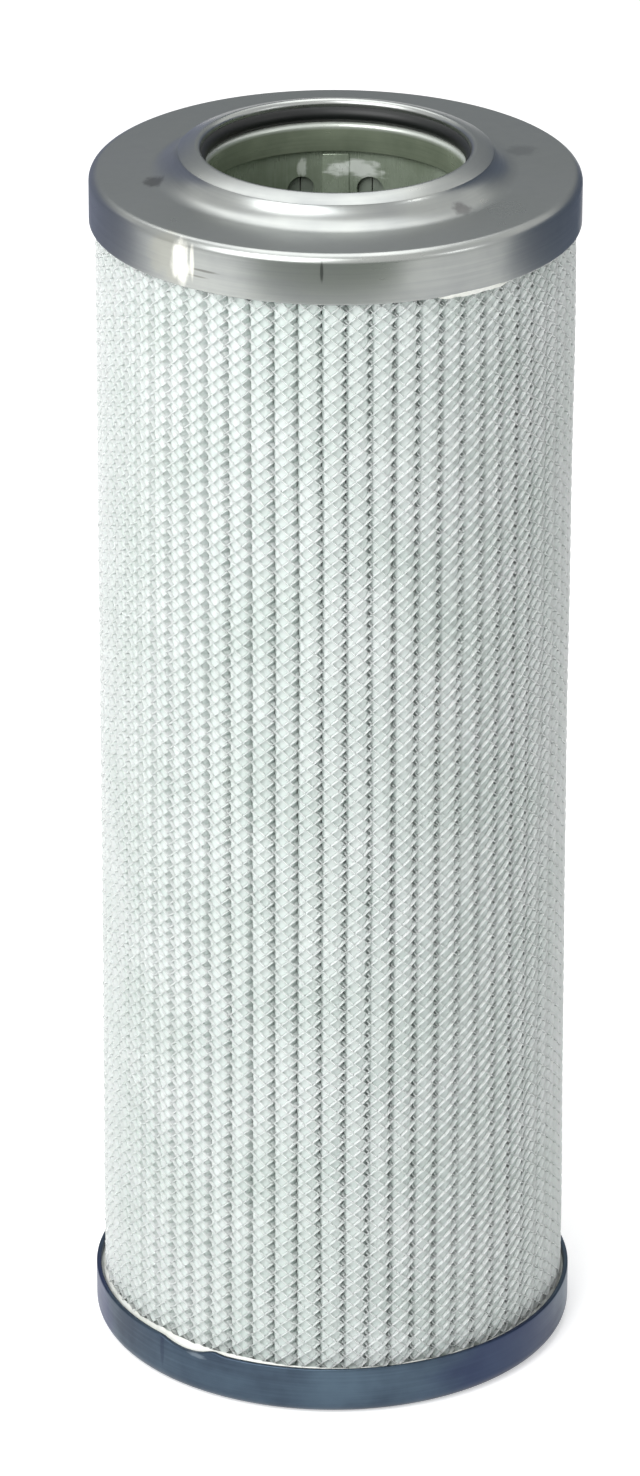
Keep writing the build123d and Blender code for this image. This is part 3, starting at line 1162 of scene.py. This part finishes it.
@dataclass
class PleatedPack:
    """The folded net and fleece, which give the element its look."""

    net_depth: float = 0.22        # both layers of strands
    net_bend: float = 4.8          # the stiff net bends over a crest more gently than the fleece does
    fold_reach: float = 1.78       # from the middle of the fleece's crest to its flank
    fold_corner: float = 0.5       # the round between the two
    corner_drop: float = 1.4       # how far below the crest the flank starts, in corner rounds
    root: float = 23.8
    root_slack: float = 0.35       # the sheet's lean from its flank to its root
    root_least: float = 0.12
    fleece: float = 0.45
    fleece_rows: int = 24
    strand_pitch: float = 2.1      # along the axis
    strand_width: float = 1.18
    strand_thickness: float = 0.11
    strand_lean: float = 42.0      # degrees, on the unfolded net
    strand_end: float = 0.12       # strands run this far past the valley
    strand_seed: int = 11
    sectors: int = 5
    sway_reach: float = 0.9
    sway_wave: float = 24.0
    sway_depth: float = 8.0        # from the crests to where the folds hold still
    sway_squash: float = 0.35      # the folds wander more slowly up the pack than round it
    pack: Span = field(default_factory=lambda: Span.of("outer_support_net"))

    @property
    def strand_bend(self) -> float:
        """Radius of a crest at the middle of the net."""
        return self.net_bend - self.net_depth / 2

    @property
    def net_centre(self) -> float:
        """Radius at which the net's bends have their centres."""
        return self.pack.radius - self.net_bend

    @property
    def net_turn(self) -> float:
        """How far the net turns from a crest to the valley, where it meets the next crest's net."""
        return HALF_PITCH + math.asin(self.net_centre * math.sin(HALF_PITCH) / self.strand_bend)

    @property
    def climb(self) -> float:
        """How many pitches a strand climbs from valley to valley, so that its neighbours take it up."""
        width = 2 * self.net_turn * self.strand_bend
        return width * math.tan(math.radians(self.strand_lean)) / self.strand_pitch

    def sway(self) -> bpy.types.GeometryNodeTree:
        """Makes folds wander, most at their crests and not at all at their roots.

        Returns:
            The tree that does it.
        """
        tree = new_geometry_tree("wandering_folds", {"Float": ("Reach", "Wave", "Inner", "Outer")})
        add = partial(add_node, tree)
        given = add("NodeGroupInput").outputs
        place = add("GeometryNodeInputPosition")
        squat = add(VECTOR_MATH, "MULTIPLY", (place, (1.0, 1.0, self.sway_squash)))
        scale = add(MATH, "DIVIDE", (1.0, given["Wave"]))
        waves = add(NOISE, inputs={"Vector": squat, "Scale": scale, "Detail": 1.0}).outputs["Color"]
        middle = add(VECTOR_MATH, "SUBTRACT", (waves, (0.5, 0.5, 0.5)))
        level = add(VECTOR_MATH, "MULTIPLY", (middle, (1, 1, 0)))
        plan = add(VECTOR_MATH, "MULTIPLY", (place, (1, 1, 0)))
        radius = add(VECTOR_MATH, "LENGTH", (plan,)).outputs["Value"]
        share = add(MAP_RANGE, {"interpolation_type": "SMOOTHSTEP"}, {
            "Value": radius, "From Min": given["Inner"], "From Max": given["Outer"], "To Max": given["Reach"],
        })
        move = add(VECTOR_MATH, "SCALE", {0: level, "Scale": share})
        swayed = add(SET_PLACE, inputs={"Geometry": given["Geometry"], "Offset": move})
        add("NodeGroupOutput", inputs=(add(MAKE_REAL, inputs=(swayed,)),))
        return tree

    def folded(self, name: str, outer: float, inner: float) -> bpy.types.Mesh:
        """Makes a closed pleated sheet with rounded crests.

        Args:
            name: The mesh's name.
            outer: Its outer face's depth below the net's outer face, in millimetres.
            inner: Its inner face's depth.

        Returns:
            The sheet's mesh.
        """
        shell = bmesh.new()
        rims = []
        for depth in (outer, inner):
            loops = []
            for row in range(self.fleece_rows + 1):
                height = self.pack.base + (self.pack.top - self.pack.base) * row / self.fleece_rows
                loops.append([
                    shell.verts.new(polar(radius, angle, height)) for radius, angle in self.fold_points(depth)
                ])
            for lower, upper in zip(loops, loops[1:]):
                stitch(shell, lower, upper)
            rims.append((loops[0], loops[-1]))
        for outside, inside in zip(*rims):
            stitch(shell, outside, inside)
        return keep(name, shell, sharp=50)

    def fold_points(self, depth: float) -> list[Point]:
        """Traces the folded line at one depth in the sheet.

        Args:
            depth: Depth below the net's outer face, in millimetres.

        Returns:
            Radius and angle of each of its points.
        """
        bend = self.net_bend - depth
        flank = self.fold_reach - (depth - self.net_depth)
        turn = math.asin((flank - self.fold_corner) / bend)
        crest = [
            (self.net_centre + bend * math.cos(turn * share), bend * math.sin(turn * share))
            for share in (-1.0, -0.5, 0.0, 0.5, 1.0)
        ]
        shoulder = crest[0][0] - self.corner_drop * self.fold_corner
        crest = [(shoulder, -flank), *crest, (shoulder, flank)]
        root = self.root - depth
        spread = max(self.root_least, root * math.sin(HALF_PITCH) - (flank - self.root_slack)) / root
        points = []
        for pleat in range(PLEATS):
            middle = PACK_TURN + 2 * HALF_PITCH * pleat
            points.extend((math.hypot(x, y), middle + math.atan2(y, x)) for x, y in crest)
            points.extend((root, middle + HALF_PITCH + side * spread) for side in (-1, 1))
        return points

    def build(self) -> None:
        """Makes the net's strands and the fleece, and sways them together."""
        sway = self.sway()
        wander = {
            "Reach": self.sway_reach * MM, "Wave": self.sway_wave * MM,
            "Inner": (self.pack.radius - self.sway_depth) * MM, "Outer": self.pack.radius * MM,
        }
        strands = StrandTree().tree
        shares = [round(PLEATS * sector / self.sectors) for sector in range(self.sectors + 1)]
        for sector, (first, beyond) in enumerate(zip(shares, shares[1:]), start=1):
            piece = add_object(bpy.data.meshes.new(f"net_strands_{sector}"))
            settle(piece, strands, {
                "First Pleat": first, "Pleats": beyond - first, "Pleat Angle": math.tau / PLEATS,
                "Pack Turn": PACK_TURN, "Crest Radius": self.strand_bend * MM,
                "Crest Centre": self.net_centre * MM, "Crest Turn": self.net_turn,
                "Flank": self.strand_end * MM, "Base": self.pack.base * MM, "Top": self.pack.top * MM,
                "Pitch": self.strand_pitch * MM, "Width": self.strand_width * MM,
                "Thickness": self.strand_thickness * MM, "Lean": math.radians(self.strand_lean),
                "Climb": self.climb, "Seed": self.strand_seed, "Net": NET_POLYMER.material(),
            })
            settle(piece, sway, wander)
            hand_over(piece, "white_net", "outer_support_net")
        fleece = add_object(self.folded("pleated_fleece", self.net_depth, self.net_depth + self.fleece))
        settle(fleece, sway, wander)
        fleece.data.materials.append(GLASS_FLEECE.material())
        hand_over(fleece, "glass_fibre", "filter_medium")


# --- Studio ---


@dataclass
class Studio:
    """Camera, lamps, world and floor."""

    target: tuple[float, float, float] = (0.0, 0.0, 101.05)
    distance: float = 1232.6
    elevation: float = 24.33
    lens: float = 184.3
    shift: Point = (-0.0094, 0.0105)
    roll: float = 0.18
    clip: Point = (50.0, 20000.0)
    lamp_distance: float = 900.0
    room_light: float = 0.4        # what the white room gives the element
    floor_size: float = 4000.0
    floor_drop: float = 0.05
    floor_glow: float = 0.45

    def camera(self) -> None:
        """Places the camera in front of the element, looking down at it."""
        data = bpy.data.cameras.new("front_camera")
        data.lens = self.lens
        data.sensor_width = 36
        data.shift_x, data.shift_y = self.shift
        data.clip_start, data.clip_end = (end * MM for end in self.clip)
        camera = add_object(data)
        rise = math.radians(self.elevation)
        back = Vector((0, -math.cos(rise), math.sin(rise)))
        camera.location = (Vector(self.target) + back * self.distance) * MM
        aim = (-back).to_track_quat("-Z", "Y").to_matrix().to_4x4()
        camera.matrix_world = (
            Matrix.Translation(camera.location) @ aim @ Matrix.Rotation(math.radians(self.roll), 4, "Z")
        )
        bpy.context.scene.camera = camera

    def lamp(self, name: str, azimuth: float, elevation: float, size: Point, power: float) -> None:
        """Hangs an area lamp that faces the middle of the element.

        Args:
            name: The lamp's name.
            azimuth: 0 in front of the element and positive towards its right, in degrees.
            elevation: Degrees above the horizon.
            size: Width and height, in millimetres.
            power: Watts.
        """
        data = bpy.data.lights.new(name, "AREA")
        data.shape = "RECTANGLE"
        data.size, data.size_y = size[0] * MM, size[1] * MM
        data.energy = power
        lamp = add_object(data)
        lamp.visible_camera = False
        turn, rise = math.radians(azimuth), math.radians(elevation)
        away = Vector((math.sin(turn) * math.cos(rise), -math.cos(turn) * math.cos(rise), math.sin(rise)))
        lamp.location = (Vector(self.target) + away * self.lamp_distance) * MM
        lamp.rotation_mode = "QUATERNION"
        lamp.rotation_quaternion = away.to_track_quat("Z", "Y")

    def card(self, name: str, azimuth: float, width: float, reach: Point, distance: float, grey: str) -> None:
        """Stands a grey card where only the element's shine sees it, for bare metal to mirror.

        Args:
            name: The card's name.
            azimuth: 0 in front of the element and positive towards its right, in degrees.
            width: Width, in millimetres.
            reach: Heights of its lower and upper edge.
            distance: Distance from the axis.
            grey: Its colour.
        """
        turn = math.radians(azimuth)
        away = Vector((math.sin(turn), -math.cos(turn), 0))
        across = Vector((math.cos(turn), math.sin(turn), 0))
        low, high = reach
        corners = [
            (away * distance + across * side * width / 2 + Vector((0, 0, height))) * MM
            for side, height in ((-1, low), (1, low), (1, high), (-1, high))
        ]
        material = bpy.data.materials.new(name)
        add = partial(add_node, empty_tree(material))
        shine = add("ShaderNodeEmission", inputs={"Color": linear(grey)})
        add("ShaderNodeOutputMaterial", inputs=(shine,))
        card = self.panel(name, corners, material)
        card.visible_camera = card.visible_diffuse = card.visible_shadow = card.visible_transmission = False

    @staticmethod
    def panel(name: str, corners: Sequence[Any], material: bpy.types.Material) -> bpy.types.Object:
        """Stages one flat panel of the studio.

        Args:
            name: Its name.
            corners: Its four corners, in metres.
            material: Its material.

        Returns:
            The panel.
        """
        mesh = bpy.data.meshes.new(name)
        mesh.from_pydata(corners, [], [(0, 1, 2, 3)])
        mesh.materials.append(material)
        panel = add_object(mesh)
        panel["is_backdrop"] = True
        return panel

    @staticmethod
    def seen(add: Adder) -> bpy.types.Node:
        """Tells the rays that show the backdrop itself: straight, mirrored or through glass.

        Args:
            add: Adds a node to the backdrop's tree.

        Returns:
            The node that gives them 1, and other rays 0.
        """
        path = add("ShaderNodeLightPath").outputs
        mirrored = add(MATH, "ADD", (path["Is Camera Ray"], path["Is Glossy Ray"]))
        through = (mirrored, path["Is Transmission Ray"])
        return add(MATH, {"operation": "ADD", "use_clamp": True}, through)

    def world(self) -> None:
        """A white surround to look at, which lights the element as a pale room would."""
        world = bpy.data.worlds.new("pale_room")
        add = partial(add_node, empty_tree(world))
        strength = add(MAP_RANGE, inputs={"Value": self.seen(add), "To Min": self.room_light})
        light = add("ShaderNodeBackground", inputs={"Color": linear("#ffffff"), "Strength": strength})
        add("ShaderNodeOutputWorld", inputs=(light,))
        bpy.context.scene.world = world

    def floor(self) -> None:
        """A white floor that keeps a soft shadow."""
        material = bpy.data.materials.new("white_paper")
        add = partial(add_node, empty_tree(material))
        matt = add("ShaderNodeBsdfDiffuse", inputs={"Color": linear("#f4f4f4")})
        glow = add(MATH, "MULTIPLY", (self.seen(add), self.floor_glow))
        shine = add("ShaderNodeEmission", inputs={"Color": linear("#ffffff"), "Strength": glow})
        add("ShaderNodeOutputMaterial", inputs=(add("ShaderNodeAddShader", inputs=(matt, shine)),))
        half = self.floor_size / 2 * MM
        square = [(x * half, y * half, 0) for x, y in ((-1, -1), (1, -1), (1, 1), (-1, 1))]
        self.panel("studio_floor", square, material).location.z = -self.floor_drop * MM

    def build(self) -> None:
        """Sets up the whole studio."""
        self.camera()
        self.lamp("key", azimuth=-34, elevation=40, size=(700, 700), power=8.5)
        self.lamp("overhead", azimuth=-165, elevation=74, size=(640, 800), power=3.2)
        self.lamp("glint", azimuth=58, elevation=24, size=(150, 150), power=0.45)
        self.card("front_card", azimuth=-4, width=460, reach=(0, 230), distance=340, grey="#9ca39b")
        self.card("right_card", azimuth=122, width=520, reach=(0, 320), distance=330, grey="#6a7488")
        self.card("left_card", azimuth=-135, width=480, reach=(0, 320), distance=330, grey="#888ea4")
        self.card("back_card", azimuth=180, width=3200, reach=(150, 1150), distance=1200, grey="#94989c")
        self.world()
        self.floor()
        bpy.context.scene.view_settings.view_transform = "Standard"


def dress_kept_nodes(nodes: Mapping[str, bpy.types.Object]) -> None:
    """Gives the CAD nodes that stay their finishes; the inner net's grey is painted shade.

    Args:
        nodes: The frame's nodes by name.
    """
    finishes = {
        "top_potting": CURED_ADHESIVE, "bottom_potting": CURED_ADHESIVE, "side_seam_bead": CURED_ADHESIVE,
        "inner_support_net": SHADED_INNER_POLYMER,
    }
    for node, finish in finishes.items():
        slots = nodes[node].material_slots
        for slot in slots:
            slot.material = finish.material()
        log.info("%s: keeps its CAD mesh, %d slots dressed", node, len(slots))


def corners() -> list[list[float]]:
    """The shown object's lowest and highest corner, as plain lists."""
    return [list(corner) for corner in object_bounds()]


def main() -> None:
    """Loads the frame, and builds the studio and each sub-assembly."""
    logging.basicConfig(level=logging.INFO, format="%(name)s %(message)s")
    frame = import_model()
    Studio().build()
    for assembly in (TopCap, SealSeat, CoreTube, BottomCap, PleatedPack):
        assembly().build()
    dress_kept_nodes(frame["nodes"])


if __name__ == "__main__":
    main()
